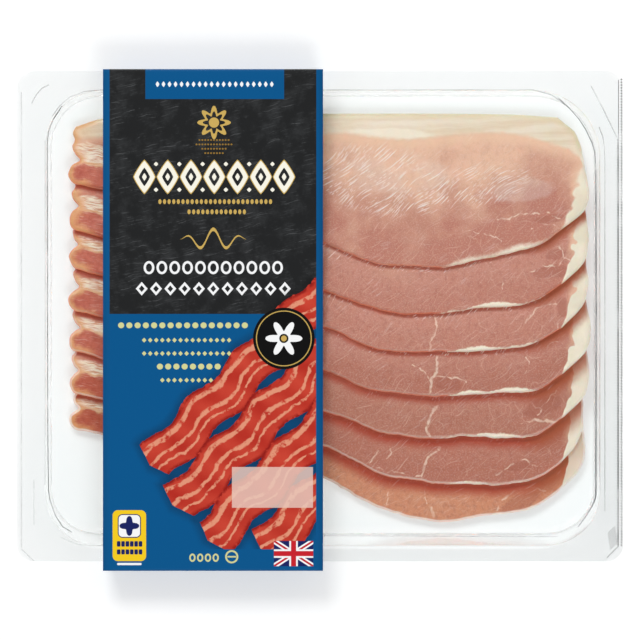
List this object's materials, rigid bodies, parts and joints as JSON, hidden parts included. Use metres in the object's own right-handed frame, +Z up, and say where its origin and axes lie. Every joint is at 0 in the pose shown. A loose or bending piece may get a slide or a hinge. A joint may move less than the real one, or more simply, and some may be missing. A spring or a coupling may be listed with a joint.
{
  "type": "bacon pack",
  "caption": "Flat clear retail tray of overlapping back bacon rashers, sealed with clear film and held in a printed card sleeve that wraps round one side of the tray.",
  "frame": {"origin": "middle of the pack's bounding box in plan, at the height of the surface the pack lies on", "axes": "+X along the rashers from tail to eye, +Y across the rashers towards the top of the pack's face, +Z up out of the pack's face"},
  "size_m": [0.25, 0.207, 0.0172],
  "materials": {
    "clear_plastic": "clear thermoformed PET, glossy, slightly grey at its bends",
    "clear_film": "clear glossy lidding film, heat sealed to the flange",
    "printed_card": "satin printed carton board, slate grey and blue fields, plain grey inside",
    "bacon": "raw cured pork, moist, pink lean with cream fat along the back edge and fine marbling"
  },
  "bodies": {
    "root": {"tray": "clear_plastic", "lid_film": "clear_film", "sleeve": "printed_card", "rasher_1": "bacon", "rasher_2": "bacon", "rasher_3": "bacon", "rasher_4": "bacon", "rasher_5": "bacon", "rasher_6": "bacon", "rasher_7": "bacon"}
  },
  "joints": []
}
